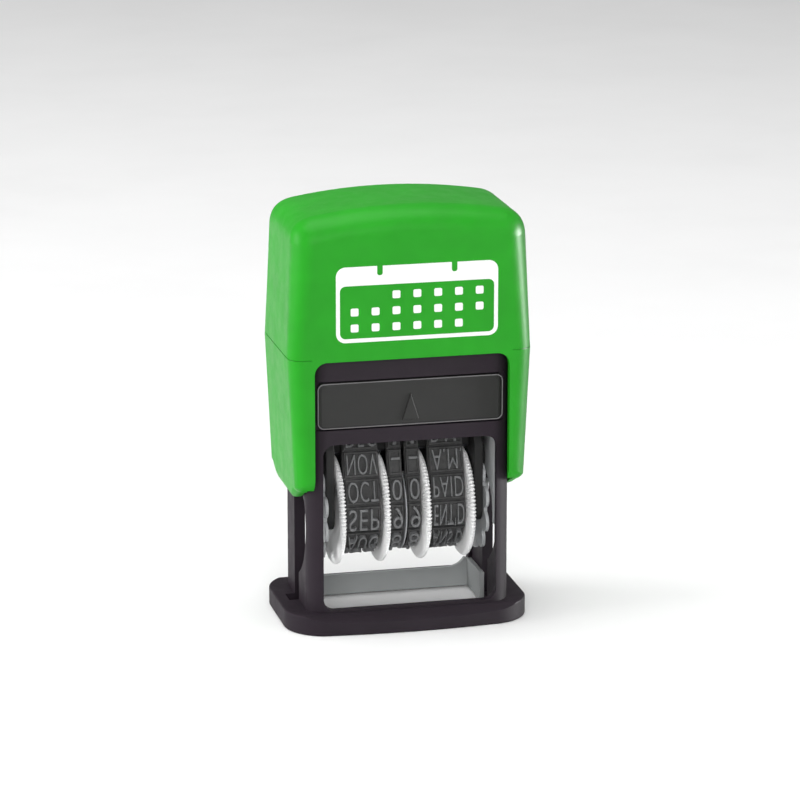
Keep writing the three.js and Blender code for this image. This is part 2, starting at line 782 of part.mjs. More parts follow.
const drawer = new THREE.Group();
model.add(drawer);
const felt = new THREE.BoxGeometry(
  2 * (trayHalfWidth - trayWall - seatGap),
  2 * feltHalfDepth,
  feltThickness,
);
place(drawer, "ink_pad_tray", geometryOf(inkPadTray()), looks.drawer);
place(drawer, "ink_pad_felt", felt, looks.felt, [0, 0, padUnderside + feltThickness / 2]);

place(model, "cap", geometryOf(cap()), looks.green);
place(model, "yoke", geometryOf(yoke()), looks.darkPlate);
place(model, "return_spring", returnSpring(), looks.steel, [0, 0, deckTop + springWire + seatGap]);

const dateUnit = new THREE.Group();
dateUnit.position.z = pivotHeight;
model.add(dateUnit);
const plate = carriagePlateSolid();
const cam = turnCam();
const pinLength = pinEnd - carriageIn - swingGap;
const pin = new THREE.CylinderGeometry(pivotRadius, pivotRadius, pinLength, 20);
pin.rotateZ(Math.PI / 2);
const pinMiddle = (pinEnd + carriageIn + swingGap) / 2;
for (const [side, sign] of [
  ["right", 1],
  ["left", -1],
]) {
  const sideOf = (solid) => geometryOf(sign > 0 ? solid : mirrored(solid));
  place(dateUnit, `carriage_plate_${side}`, sideOf(plate), looks.darkPlate);
  place(dateUnit, `turn_cam_${side}`, sideOf(cam), looks.paleGrey);
  place(dateUnit, `pivot_pin_${side}`, pin.clone(), looks.steel, [sign * pinMiddle, 0, 0]);
}
place(dateUnit, "print_block", geometryOf(printBlock()), looks.darkPlate);
place(dateUnit, "detent_spring", geometryOf(detentSpring()), looks.steel);

const wheels = new THREE.Group();
wheels.position.z = -axleDrop;
dateUnit.add(wheels);
const axleHalf = camIn + camThickness;
place(
  wheels,
  "wheel_axle",
  new THREE.CylinderGeometry(axleRadius, axleRadius, 2 * axleHalf, 20).rotateZ(Math.PI / 2),
  looks.steel,
);
const disc = cut(
  shaftAcross(spacerRadius, -spacerThickness / 2, spacerThickness / 2, 0, 0, 40),
  shaftAcross(axleRadius + shaftGap, -1, 1, 0, 0),
);
place(wheels, "drum_spacer", geometryOf(disc), looks.paleGrey);

// The outer pair of wheels drives the wide bands and the inner pair the narrow ones. The right-hand wheels are the
// left-hand ones turned round.
for (const [name, rimIn, width, turned] of [
  ["thumbwheel_1", outerRimIn, wideBand, false],
  ["thumbwheel_2", innerRimIn, narrowBand, false],
  ["thumbwheel_3", innerRimIn, narrowBand, true],
  ["thumbwheel_4", outerRimIn, wideBand, true],
]) {
  const x = rimIn + rimThickness;
  const wheel = place(wheels, name, thumbwheel(width), looks.white, [turned ? x : -x, 0, 0]);
  wheel.rotation.z = turned ? Math.PI : 0;
}

const wideMiddle = wideIn + wideBand / 2;
const narrowMiddle = narrowIn + narrowBand / 2;
const wide = geometryOf(dateBand(wideBand));
const narrow = geometryOf(dateBand(narrowBand));
place(wheels, "date_band_month", wide, looks.rubber, [-wideMiddle, 0, 0]);
place(wheels, "date_band_tens", narrow, looks.rubber, [-narrowMiddle, 0, 0]);
place(wheels, "date_band_units", narrow.clone(), looks.rubber, [narrowMiddle, 0, 0]);
place(wheels, "date_band_words", wide.clone(), looks.rubber, [wideMiddle, 0, 0]);

export default model;
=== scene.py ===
"""A self-inking date stamp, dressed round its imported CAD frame.

Shapes are drawn in millimetres, in the frame's own axes: +Z up, -Y the front, +X to the right.
piece() turns each finished mesh to metres and puts it on its CAD body.
"""

import json
import math

import bmesh
import bpy
from mathutils import Matrix, Vector


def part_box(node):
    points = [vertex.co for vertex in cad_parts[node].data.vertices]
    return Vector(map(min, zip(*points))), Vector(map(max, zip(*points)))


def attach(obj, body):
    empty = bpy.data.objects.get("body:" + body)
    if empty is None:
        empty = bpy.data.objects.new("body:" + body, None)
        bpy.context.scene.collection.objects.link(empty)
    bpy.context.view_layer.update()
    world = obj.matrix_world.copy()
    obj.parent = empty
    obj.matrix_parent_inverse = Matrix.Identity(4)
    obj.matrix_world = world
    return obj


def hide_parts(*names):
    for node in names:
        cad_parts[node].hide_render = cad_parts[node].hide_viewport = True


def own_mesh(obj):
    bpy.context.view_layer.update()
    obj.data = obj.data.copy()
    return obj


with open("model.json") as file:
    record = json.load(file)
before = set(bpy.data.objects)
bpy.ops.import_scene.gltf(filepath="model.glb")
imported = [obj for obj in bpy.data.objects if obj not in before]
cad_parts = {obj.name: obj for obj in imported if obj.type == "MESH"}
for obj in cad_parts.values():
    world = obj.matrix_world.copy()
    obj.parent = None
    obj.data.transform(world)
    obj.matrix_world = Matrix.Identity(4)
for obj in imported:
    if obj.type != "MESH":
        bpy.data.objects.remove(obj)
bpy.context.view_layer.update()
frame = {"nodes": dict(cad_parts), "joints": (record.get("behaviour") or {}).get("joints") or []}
scene = bpy.context.scene
joints = {joint["name"]: joint for joint in frame["joints"]}

MM = 0.001
FAR = 60  # longer than any cut
QUARTER = math.pi / 2
SAME_POINT = 1e-5  # points nearer than this are one point


def span(node):
    """The lowest and highest corner of a CAD node, in millimetres."""
    low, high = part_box(node)
    return low / MM, high / MM


pivot_z = joints["dater_flip"]["pos_m"][2] / MM
axle_z = joints["thumbwheel_1_spin"]["pos_m"][2] / MM

# ---- Outlines and solids -------------------------------------------------------------------------


def arc(u, v, radius, start, end, steps=10):
    """Points on an arc about (u, v), from one angle to another in degrees."""
    angles = [math.radians(start + (end - start) * k / steps) for k in range(steps + 1)]
    return [Vector((u + radius * math.cos(a), v + radius * math.sin(a))) for a in angles]


def curve(start, bend, end, steps=16):
    """Points on a quadratic curve, without its first one."""
    start, bend, end = Vector(start), Vector(bend), Vector(end)
    shares = [k / steps for k in range(1, steps + 1)]
    return [start * (1 - t) ** 2 + bend * 2 * t * (1 - t) + end * t * t for t in shares]


def rounded(u0, u1, v0, v1, radius, steps=10):
    """A rectangle with round corners, anticlockwise."""
    return (
        arc(u1 - radius, v0 + radius, radius, -90, 0, steps)
        + arc(u1 - radius, v1 - radius, radius, 0, 90, steps)
        + arc(u0 + radius, v1 - radius, radius, 90, 180, steps)
        + arc(u0 + radius, v0 + radius, radius, 180, 270, steps)
    )


def circle(u, v, radius, steps=48):
    return arc(u, v, radius, 0, 360, steps)[:-1]


def anticlockwise(outline):
    """The outline without doubled points, turning anticlockwise."""
    points = [Vector(p) for p in outline]
    points = [p for k, p in enumerate(points) if (p - points[k - 1]).length > SAME_POINT]
    turn = sum(points[k - 1].cross(p) for k, p in enumerate(points))
    return points if turn > 0 else points[::-1]


def inset(outline, distance):
    """The outline moved inwards, by one distance all round or by one for each point."""
    distances = distance if isinstance(distance, list) else [distance] * len(outline)
    sharpest = 0.3  # keeps a point at a very sharp corner from moving far
    moved = []
    for k, point in enumerate(outline):
        before = (point - outline[k - 1]).normalized()
        after = (outline[(k + 1) % len(outline)] - point).normalized()
        out = Vector((before.y + after.y, -before.x - after.x))
        moved.append(point - out * distances[k] / max(sharpest, 1 + before.dot(after)))
    return moved


PLACES = {
    "x": lambda u, v, w: (w, u, v),
    "y": lambda u, v, w: (u, w, v),
    "z": lambda u, v, w: (u, v, w),
}


def new_object(name, mesh):
    made = bpy.data.objects.new(name, mesh)
    scene.collection.objects.link(made)
    return made


def object_of(bm, name="solid"):
    bmesh.ops.recalc_face_normals(bm, faces=bm.faces)
    mesh = bpy.data.meshes.new(name)
    bm.to_mesh(mesh)
    bm.free()
    return new_object(name, mesh)


def skin(rings, closed=False):
    """A solid through rings of points. If closed, its last ring joins its first, like a tyre."""
    bm = bmesh.new()
    rows = [[bm.verts.new(point) for point in ring] for ring in rings]
    count = len(rings[0])
    for k in range(len(rows) if closed else len(rows) - 1):
        below, above = rows[k], rows[(k + 1) % len(rows)]
        for j in range(count):
            after = (j + 1) % count
            bm.faces.new((below[j], below[after], above[after], above[j]))
    if not closed:
        bm.faces.new(rows[0][::-1])
        bm.faces.new(rows[-1])
    return object_of(bm)


def soft_prism(outline, low, high, edge_at, steps=12):
    """A solid along Y. edge_at gives the radius of its front and back edges at a point."""
    points = anticlockwise(outline)
    edges = [edge_at(point) for point in points]
    turns = [QUARTER * k / steps for k in range(steps + 1)]
    widest = max(edges)
    stations = [widest * (1 - math.cos(a)) for a in turns]
    rings = []
    for depth in stations:
        depths = [e - math.sqrt(max(0.0, e * e - max(0.0, e - depth) ** 2)) for e in edges]
        rings.append(inset(points, depths))
    places = [low + depth for depth in stations] + [high - depth for depth in reversed(stations)]
    rings += rings[::-1]
    return skin([[(p.x, y, p.y) for p in ring] for ring, y in zip(rings, places)])


def prism(outline, axis, low, high, edge=0.0, steps=5):
    """A solid with this outline across an axis, from low to high, with its edges rounded."""
    points = anticlockwise(outline)
    stations = [(low, 0.0)]
    if edge:
        turns = [QUARTER * k / steps for k in range(steps + 1)]
        stations = [(low + edge * (1 - math.cos(a)), edge * (1 - math.sin(a))) for a in turns]
    stations += [(low + high - w, depth) for w, depth in reversed(stations)]
    rings = [[PLACES[axis](p.x, p.y, w) for p in inset(points, d)] for w, d in stations]
    return skin(rings)


def block(x0, x1, y0, y1, z0, z1, edge=0.0):
    corners = [Vector(p) for p in ((x0, y0), (x1, y0), (x1, y1), (x0, y1))]
    return prism(corners, "z", z0, z1, edge)


def pair(x0, x1, y0, y1, z0, z1):
    """The same block on the right and on the left."""
    return [block(x0, x1, y0, y1, z0, z1), block(-x1, -x0, y0, y1, z0, z1)]


def lathe(profile, steps=96, centre=(0.0, 0.0), moved=None):
    """A closed profile of (x, radius) points turned about an axis along X through (y, z)."""
    rings = []
    for k in range(steps):
        angle = 2 * math.pi * k / steps
        ring = []
        for x, r in profile:
            if moved:
                x, r = moved(x, r, angle)
            ring.append((x, centre[0] + r * math.sin(angle), centre[1] + r * math.cos(angle)))
        rings.append(ring)
    return skin(rings, closed=True)


def rod(radius, x0, x1, y, z, chamfer=0.15, steps=48):
    """A solid rod along X with its ends chamfered."""
    stations = [(x0, radius - chamfer), (x0 + chamfer, radius)]
    stations += [(x1 - chamfer, radius), (x1, radius - chamfer)]
    rings = [[(x, *p) for p in circle(y, z, r, steps)] for x, r in stations]
    return skin(rings)


def bake(made):
    """Makes the modifiers' result the object's own mesh."""
    graph = bpy.context.evaluated_depsgraph_get()
    mesh = bpy.data.meshes.new_from_object(made.evaluated_get(graph))
    made.modifiers.clear()
    made.data = mesh
    return made


def combined(operation, base, tools):
    for tool in tools:
        modifier = base.modifiers.new("combine", "BOOLEAN")
        modifier.operation = operation
        modifier.object = tool
        modifier.solver = "EXACT"
    bake(base)
    for tool in tools:
        bpy.data.objects.remove(tool)
    return base


def joined(base, *tools):
    return combined("UNION", base, tools)


def cut(base, *tools):
    return combined("DIFFERENCE", base, tools)


def soften(made, width, segments=2, angle=32):
    """Rounds the sharp edges, as a mould does, after it clears the slivers that the cuts left."""
    sliver, flat = 0.004, math.radians(0.4)
    bm = bmesh.new()
    bm.from_mesh(made.data)
    bmesh.ops.remove_doubles(bm, verts=bm.verts, dist=sliver)
    bmesh.ops.dissolve_limit(bm, angle_limit=flat, verts=bm.verts, edges=bm.edges)
    bm.to_mesh(made.data)
    bm.free()
    bevel = made.modifiers.new("edges", "BEVEL")
    bevel.width = width
    bevel.segments = segments
    bevel.limit_method = "ANGLE"
    bevel.angle_limit = math.radians(angle)
    bevel.miter_outer = "MITER_ARC"
    return bake(made)


def piece(made, name, body, material, replaces=(), sharp=45):
    """Names a finished solid, turns it to metres and puts it on its CAD body."""
    made.name = name
    made.data.name = name
    made.data.transform(Matrix.Scale(MM, 4))
    made.data.shade_smooth()
    made.data.set_sharp_from_angle(angle=math.radians(sharp))
    weighted = made.modifiers.new("normals", "WEIGHTED_NORMAL")
    weighted.keep_sharp = True
    bake(made)
    made.data.materials.clear()
    made.data.materials.append(material)
    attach(made, body)
    if replaces:
        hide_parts(*replaces)
    return made


# ---- Materials -----------------------------------------------------------------------------------


def linear(red, green, blue):
    """A display colour, 0 to 255, as a linear one."""
    shares = [c / 255 for c in (red, green, blue)]
    return tuple(s / 12.92 if s <= 0.04045 else ((s + 0.055) / 1.055) ** 2.4 for s in shares)


class Nodes:
    """A material's node tree with a short way to add to it."""

    def __init__(self, name):
        self.material = bpy.data.materials.new(name)
        self.material.use_nodes = True
        self.tree = self.material.node_tree
        self.shader = self.tree.nodes["Principled BSDF"]
        self.place = self.add("ShaderNodeTexCoord").outputs["Object"]

    def add(self, kind, **values):
        node = self.tree.nodes.new(kind)
        for key, value in values.items():
            setattr(node, key, value)
        return node

    def link(self, source, target):
        self.tree.links.new(source, target)

    def noise(self, size, detail=3.0, roughness=0.6, stretch=None):
        """Noise with grains of this size in millimetres."""
        node = self.add("ShaderNodeTexNoise")
        node.inputs["Scale"].default_value = 1 / (size * MM)
        node.inputs["Detail"].default_value = detail
        node.inputs["Roughness"].default_value = roughness
        place = self.place
        if stretch:
            mapping = self.add("ShaderNodeMapping")
            mapping.inputs["Scale"].default_value = stretch
            self.link(place, mapping.inputs["Vector"])
            place = mapping.outputs["Vector"]
        self.link(place, node.inputs["Vector"])
        return node.outputs["Fac"]

    def ramp(self, source, low, high, start=0.3, end=0.7):
        node = self.add("ShaderNodeValToRGB")
        for element, colour, at in zip(node.color_ramp.elements, (low, high), (start, end)):
            element.color = (*colour, 1) if isinstance(colour, tuple) else (colour,) * 3 + (1,)
            element.position = at
        self.link(source, node.inputs["Fac"])
        return node.outputs["Color"]

    def bump(self, source, height, strength=1.0):
        """Relief of this height in millimetres."""
        node = self.add("ShaderNodeBump")
        node.inputs["Distance"].default_value = height * MM
        node.inputs["Strength"].default_value = strength
        earlier = self.shader.inputs["Normal"].links
        if earlier:
            self.link(earlier[0].from_socket, node.inputs["Normal"])
        self.link(source, node.inputs["Height"])
        self.link(node.outputs["Normal"], self.shader.inputs["Normal"])

    def set(self, **values):
        for key, value in values.items():
            self.shader.inputs[key.replace("_", " ")].default_value = value


def moulded(
    name, colour, roughness, grain=0.09, relief=0.004, vary=0.06, specular=0.4, milky=None
):
    """Moulded plastic: a fine eroded grain, with colour and gloss that change slowly across it.

    milky gives how much light goes in, and how deep in millimetres.
    """
    shades, worn = 7.0, 2.6  # sizes of the changes in colour and in gloss
    nodes = Nodes(name)
    low = tuple(c * (1 - vary) for c in colour)
    high = tuple(c * (1 + vary) + 0.002 * vary for c in colour)
    shade = nodes.ramp(nodes.noise(shades, 2.0), low, high)
    nodes.link(shade, nodes.shader.inputs["Base Color"])
    gloss = nodes.ramp(nodes.noise(worn, 4.0), roughness - 0.05, roughness + 0.06)
    nodes.link(gloss, nodes.shader.inputs["Roughness"])
    nodes.bump(nodes.noise(grain, 2.0, 0.7), relief)
    nodes.set(Specular_IOR_Level=specular)
    if milky:
        weight, depth = milky
        nodes.set(Subsurface_Weight=weight, Subsurface_Scale=depth * MM)
        nodes.set(Subsurface_Radius=(1.0, 1.0, 1.0))
    return nodes.material


green = moulded("green_plastic", linear(34, 153, 29), 0.4, 0.2, 0.014, specular=0.17)
black = moulded("black_plastic", linear(42, 35, 42), 0.55, 0.14, 0.008, specular=0.12)
drawer = moulded("drawer_plastic", linear(40, 40, 39), 0.5, 0.12, 0.006, specular=0.25)
# Lighter grey for the drawer's rim bead: a painted highlight along the edge of the drawer's face.
drawer_highlight_grey = moulded("painted_highlight_plastic", linear(112, 110, 112), 0.4)
dark = moulded("dark_plastic", linear(42, 42, 42), 0.55, specular=0.15)
grey = moulded("grey_plastic", linear(158, 161, 161), 0.5, vary=0.03, specular=0.25)
light_grey = moulded("light_grey_plastic", linear(196, 198, 199), 0.5, vary=0.03)
pale = moulded("pale_plastic", linear(168, 170, 172), 0.45, vary=0.03, milky=(0.25, 0.6))
white = moulded("white_plastic", linear(246, 246, 246), 0.38, vary=0.012, milky=(0.35, 0.8))


def rubber(name, colour, roughness):
    """Moulded rubber: fine pits, and ink traces that have dried in them."""
    nodes = Nodes(name)
    traces = nodes.noise(0.7, 5.0, 0.65)
    low = tuple(c * 0.72 for c in colour)
    high = tuple(c * 1.18 for c in colour)
    nodes.link(nodes.ramp(traces, low, high), nodes.shader.inputs["Base Color"])
    gloss = nodes.ramp(nodes.noise(0.5, 3.0), roughness - 0.1, roughness + 0.08)
    nodes.link(gloss, nodes.shader.inputs["Roughness"])
    nodes.bump(nodes.noise(0.05, 3.0, 0.7), 0.008)
    nodes.set(Specular_IOR_Level=0.35)
    return nodes.material


band_rubber = rubber("band_rubber", linear(64, 64, 64), 0.62)
type_rubber = rubber("type_rubber", linear(112, 113, 114), 0.5)


def steel_wire(name, low, high):
    """Drawn steel: faint scratches along X and a little tarnish."""
    nodes = Nodes(name)
    tarnish = nodes.ramp(nodes.noise(1.8, 4.0), low, high)
    nodes.link(tarnish, nodes.shader.inputs["Base Color"])
    drawn = nodes.noise(0.08, 2.0, 0.5, stretch=(0.08, 1.0, 1.0))
    nodes.link(nodes.ramp(drawn, 0.22, 0.38), nodes.shader.inputs["Roughness"])
    nodes.bump(drawn, 0.003)
    nodes.set(Metallic=1.0)
    return nodes.material


steel = steel_wire("steel", linear(168, 170, 172), linear(206, 207, 208))
# Darker steel for the detent spring: painted shade, where the plain steel spring sits in shadow at
# the top of the window.
dark_shade_steel = steel_wire("painted_shade_steel", linear(48, 49, 52), linear(70, 71, 75))


def inked_felt():
    """Felt that is soaked with ink: short tangled fibres, with a wet sheen in places."""
    nodes = Nodes("ink_felt")
    fibres = nodes.noise(0.12, 6.0, 0.75, stretch=(1.0, 0.35, 1.0))
    stain = nodes.ramp(fibres, linear(14, 13, 20), linear(46, 45, 60))
    nodes.link(stain, nodes.shader.inputs["Base Color"])
    wet = nodes.ramp(nodes.noise(2.2, 3.0), 0.45, 0.95)
    nodes.link(wet, nodes.shader.inputs["Roughness"])
    nodes.bump(fibres, 0.08)
    nodes.set(Sheen_Weight=0.3, Sheen_Roughness=0.5)
    return nodes.material


felt = inked_felt()


def printed():
    """Opaque white pad print, slightly uneven where the ink is thin."""
    nodes = Nodes("cap_print")
    thin = nodes.ramp(nodes.noise(0.4, 4.0), linear(236, 240, 235), linear(250, 252, 249))
    nodes.link(thin, nodes.shader.inputs["Base Color"])
    nodes.bump(nodes.noise(0.2, 2.0), 0.006)
    nodes.set(Roughness=0.5)
    return nodes.material


print_white = printed()

# ---- Base frame ----------------------------------------------------------------------------------

_, frame_high = span("base_frame")
tray_low, tray_high = span("ink_pad_tray")
_, guide_high = span("guide_plate_right")
bridge_low, bridge_high = span("rear_bridge")
cap_low, cap_high = span("cap")
yoke_low, yoke_high = span("yoke")
spring_low, spring_high = span("return_spring")

foot_half = frame_high.x
slide_gap = 0.25  # between pieces that slide
seat_gap = 0.05  # between pieces that are fixed together
wall_in = guide_high.x + seat_gap
side_wall = 1.75
wall_out = wall_in + side_wall
front_wall = 1.4
room_half = guide_high.y + 0.1
wall_front = room_half + front_wall
frame_corner = 3.0
tray_half = 12.6
tray_front = tray_low.y + 0.15  # the arrow and the bead stand out from here
tray_face_back = tray_front + 0.8
pivot_pressed = pivot_z - joints["cap_slide"]["range_m"][1] / MM  # with the cap pressed


def foot_outline():
    """Round corners, and front and back edges that bow slightly."""
    corner, front, bow = 6.6, 12.1, 0.7
    x, y = foot_half - corner, front - corner
    outline = curve((-x, -front), (0, -front - 2 * bow), (x, -front), 24)
    outline += arc(x, -y, corner, -90, 0, 16) + arc(x, y, corner, 0, 90, 16)
    outline += curve((x, front), (0, front + 2 * bow), (-x, front), 24)
    return outline + arc(-x, y, corner, 90, 180, 16) + arc(-x, -y, corner, 180, 270, 16)


def foot_solid():
    height, edge_height, slope = 3.1, 1.93, 0.49
    edge = frame_high.y
    flat = edge - (height - edge_height) / slope
    section = [(-edge, 0), (edge, 0), (edge, edge_height), (flat, height)]
    section += [(-flat, height), (-edge, edge_height)]
    plate = prism(foot_outline(), "z", 0, height, 0.3, 3)
    return combined("INTERSECT", plate, [prism(section, "x", -FAR, FAR)])


def side_slot_outline():
    """The slot that guides both pins, with its bulge for the turn pin."""
    half, bottom, reach, half_height = 1.6, 1.1, 7.1, 8.7
    middle = (pivot_z + pivot_pressed) / 2
    sagitta = reach - half
    radius = (half_height**2 + sagitta**2) / (2 * sagitta)
    turn = math.degrees(math.asin(half_height / radius))
    outline = [Vector((-half, bottom)), Vector((half, bottom))]
    outline += arc(0, pivot_z + half, half, 0, 180, 16)
    return outline + arc(radius - reach, middle, radius, 180 - turn, 180 + turn, 30)


def base_frame():
    """A box with the window, the drawer's opening, a deck for the spring, and the wide foot."""
    sill, bar, pillar, corner = 3.4, 2.35, 2.36, 1.9
    bar_top = tray_low.z - slide_gap
    window_top = bar_top - bar
    window_half = wall_out - pillar
    deck_low = tray_high.z + slide_gap
    deck_high = spring_low.z - seat_gap
    plan = rounded(-wall_out, wall_out, -wall_front, wall_front, frame_corner, 14)
    shell = joined(prism(plan, "z", 0, frame_high.z), foot_solid())
    shell = cut(shell, block(-wall_in, wall_in, -room_half, room_half, -FAR, FAR))
    lip, arm_room = 0.3, 0.75
    depth = room_half + lip
    deck_half = yoke_high.x - arm_room
    deck = block(-deck_half, deck_half, -depth, depth, deck_low, deck_high)
    ledge_width, ledge_depth, ledge_height = 1, 2.8, 1.25
    ledge_in, ledge_front = tray_half - ledge_width, room_half - ledge_depth
    ledge_low = bar_top - ledge_height
    ledges = pair(ledge_in, wall_in + lip, -depth, -ledge_front, ledge_low, bar_top)
    ledges += pair(ledge_in, wall_in + lip, ledge_front, depth, ledge_low, bar_top)
    post_radius, post_height = 2.6, 2.2
    post = prism(circle(0, 0, post_radius), "z", deck_high - lip, deck_high + post_height, 0.3, 3)
    shell = joined(shell, deck, *ledges, post)
    slot_wall = 1.75
    slot_end = foot_half - slot_wall
    face_half = tray_high.x + slide_gap
    body_half = tray_half + slide_gap
    face_back = tray_face_back + seat_gap
    shell = cut(
        shell,
        prism(rounded(-window_half, window_half, sill, window_top, corner), "y", -FAR, FAR),
        block(-face_half, face_half, -FAR, face_back, bar_top, deck_low),
        block(-body_half, body_half, -FAR, 0, bar_top, deck_low),
        block(-wall_in, wall_in, 0, bridge_high.y + seat_gap, -FAR, bridge_high.z + seat_gap),
        prism(side_slot_outline(), "x", wall_in - lip, slot_end),
        prism(side_slot_outline(), "x", -slot_end, lip - wall_in),
    )
    return soften(shell, 0.28, 3)


piece(base_frame(), "frame_shell", "base", black, ["base_frame"])

# ---- Grey fittings -------------------------------------------------------------------------------


def guide_strip(side):
    """The flat plate beside a wall, cut away round the pins' path."""
    low, high = span(f"guide_plate_{side}")
    outline = rounded(low.y, high.y, low.z, high.z, 0.4, 4)
    pin_room, half = 6.7, 1.5
    middle = (pivot_z + pivot_pressed) / 2
    made = cut(
        prism(outline, "x", low.x, high.x),
        prism(circle(0, middle, pin_room, 72), "x", -FAR, FAR),
        block(low.x - 1, high.x + 1, -half, half, 0, pivot_z + half),
    )
    name = f"guide_strip_{side}"
    piece(soften(made, 0.08), name, "base", light_grey, [f"guide_plate_{side}"])


for side in ("left", "right"):
    guide_strip(side)


def rear_bridge():
    """A U-shaped strip whose bar rises in a curve to its two ends."""
    outer, thick, bar = bridge_high.x, 0.8, 3.6
    front, back, foot, top = bridge_high.y - thick, bridge_high.y, bridge_low.z, bridge_high.z
    fillet, turn = 3.2, 58
    outline = [Vector((-outer, foot)), Vector((outer, foot)), Vector((outer, top))]
    outline += [Vector((outer - thick, top))]
    outline += arc(outer - thick - fillet, bar + fillet, fillet, turn - 90, -90, 8)
    outline += arc(fillet + thick - outer, bar + fillet, fillet, -90, -90 - turn, 8)
    outline += [Vector((thick - outer, top)), Vector((-outer, top))]
    made = prism(outline, "y", front, back)
    ends = pair(outer - thick, outer, bridge_low.y, back, foot, top)
    return soften(joined(made, *ends), 0.12)


piece(rear_bridge(), "rear_bridge_strip", "base", grey, ["rear_bridge"])

# ---- Cap -----------------------------------------------------------------------------------------

cavity_half = wall_out + slide_gap
cavity_front = wall_front + slide_gap
cutout_top = tray_high.z + 3.7
widest_z = cutout_top + 0.2
leg_half = cavity_half + 1.84
leg_join = 28.0  # above this height the side profile takes nothing away
flare = cap_high.x - leg_half
shoulder_half = leg_half + 0.27
shoulder_z = cap_high.z - 5.4
arch_half, arch_rise = shoulder_half - 3.72, 1.28
cavity_top = cap_high.z - 1.9


def cap_outline():
    """The cap from the front: sides that widen to the parting line, and an arched top."""
    corner = 2.6
    arch_foot = cap_high.z - arch_rise
    corner_z = arch_foot - 2 * arch_rise / arch_half * (shoulder_half - arch_half)
    right = arc(leg_half - corner, cap_low.z + corner, corner, -90, 0, 12)
    right += [Vector((cap_high.x, widest_z)), Vector((shoulder_half, shoulder_z))]
    right += curve(right[-1], (shoulder_half, corner_z), (arch_half, arch_foot), 20)
    top = curve((arch_half, arch_foot), (0, cap_high.z + arch_rise), (-arch_half, arch_foot), 48)
    left = [Vector((-p.x, p.y)) for p in reversed(right)]
    return right + top + left


def cavity_outline():
    foot, corner = cavity_top - arch_rise, 2.0
    outline = [Vector((-cavity_half, 0)), Vector((cavity_half, 0))]
    outline += [Vector((cavity_half, foot - corner))]
    outline += curve(outline[-1], (cavity_half, foot), (cavity_half - corner, foot), 10)
    outline += curve(outline[-1], (0, cavity_top + arch_rise), (corner - cavity_half, foot), 24)
    outline += curve(outline[-1], (-cavity_half, foot), (-cavity_half, foot - corner), 10)
    return outline


def cap_edge(point):
    """The radius of the cap's front and back edges: wider over the top than down the sides."""
    side, top, start = 2.5, 4.2, shoulder_z - 5
    share = min(1.0, max(0.0, (point.y - start) / (cap_high.z - arch_rise - start)))
    return side + (top - side) * share * share * (3 - 2 * share)


def cap_side():
    """The lower part of the cap from the side: a shallow curve below, with round ends."""
    rise, end, top = 2.5, 3.0, leg_join + 4
    flat = cap_high.y - end
    radius = (flat**2 + rise**2) / (2 * rise)
    turn = math.degrees(math.asin(flat / radius))
    end_z = cap_low.z + rise + end
    outline = [Vector((-FAR, top)), Vector((-FAR, end_z)), Vector((-cap_high.y, end_z))]
    outline += arc(-flat, end_z, end, 180, 270, 12)
    outline += arc(0, cap_low.z + radius, radius, -90 - turn, -90 + turn, 40)
    outline += arc(flat, end_z, end, -90, 0, 12)
    return outline + [Vector((FAR, end_z)), Vector((FAR, top))]


def cap_shell():
    """The hollow cap, with its lower edge curved and a fine parting groove round its sides."""
    frame_shown, corner = 0.76, 2.0
    cutout_half = wall_out - frame_shown
    shell = soft_prism(cap_outline(), cap_low.y, cap_high.y, cap_edge)
    reach = leg_half + (leg_join - cap_low.z) * flare / (widest_z - cap_low.z)
    edge = 1.9
    low_part = prism(cap_side(), "x", -reach, reach, edge, 8)
    keep = joined(low_part, block(-FAR, FAR, -FAR, FAR, leg_join, 2 * FAR))
    shell = combined("INTERSECT", shell, [keep])
    seam_z, seam, depth, length = cutout_top + 0.45, 0.07, 0.12, 3.4
    around = rounded(-cap_high.x, cap_high.x, cap_low.y, cap_high.y, 2.5, 16)
    clear = cap_high.x - length
    ring = cut(
        prism([1.2 * p for p in around], "z", seam_z - seam, seam_z + seam),
        block(-clear, clear, -FAR, FAR, -FAR, FAR),
    )
    core_outline = inset(anticlockwise(cap_outline()), depth)
    core = soft_prism(core_outline, cap_low.y + depth, cap_high.y - depth, cap_edge)
    shell = cut(shell, cut(ring, core))
    shell = cut(
        shell,
        prism(cavity_outline(), "y", -cavity_front, cavity_front),
        prism(rounded(-cutout_half, cutout_half, 0, cutout_top, corner, 12), "y", -FAR, FAR),
    )
    boss, offset, overlap = 1.6, 9.5, 0.5
    boss_low, boss_high = yoke_high.z + seat_gap, cavity_top + overlap
    bosses = [prism(circle(x, 0, boss, 32), "z", boss_low, boss_high) for x in (-offset, offset)]
    return soften(joined(shell, *bosses), 0.28, 3)


piece(cap_shell(), "cap_shell", "cap", green, ["cap"])


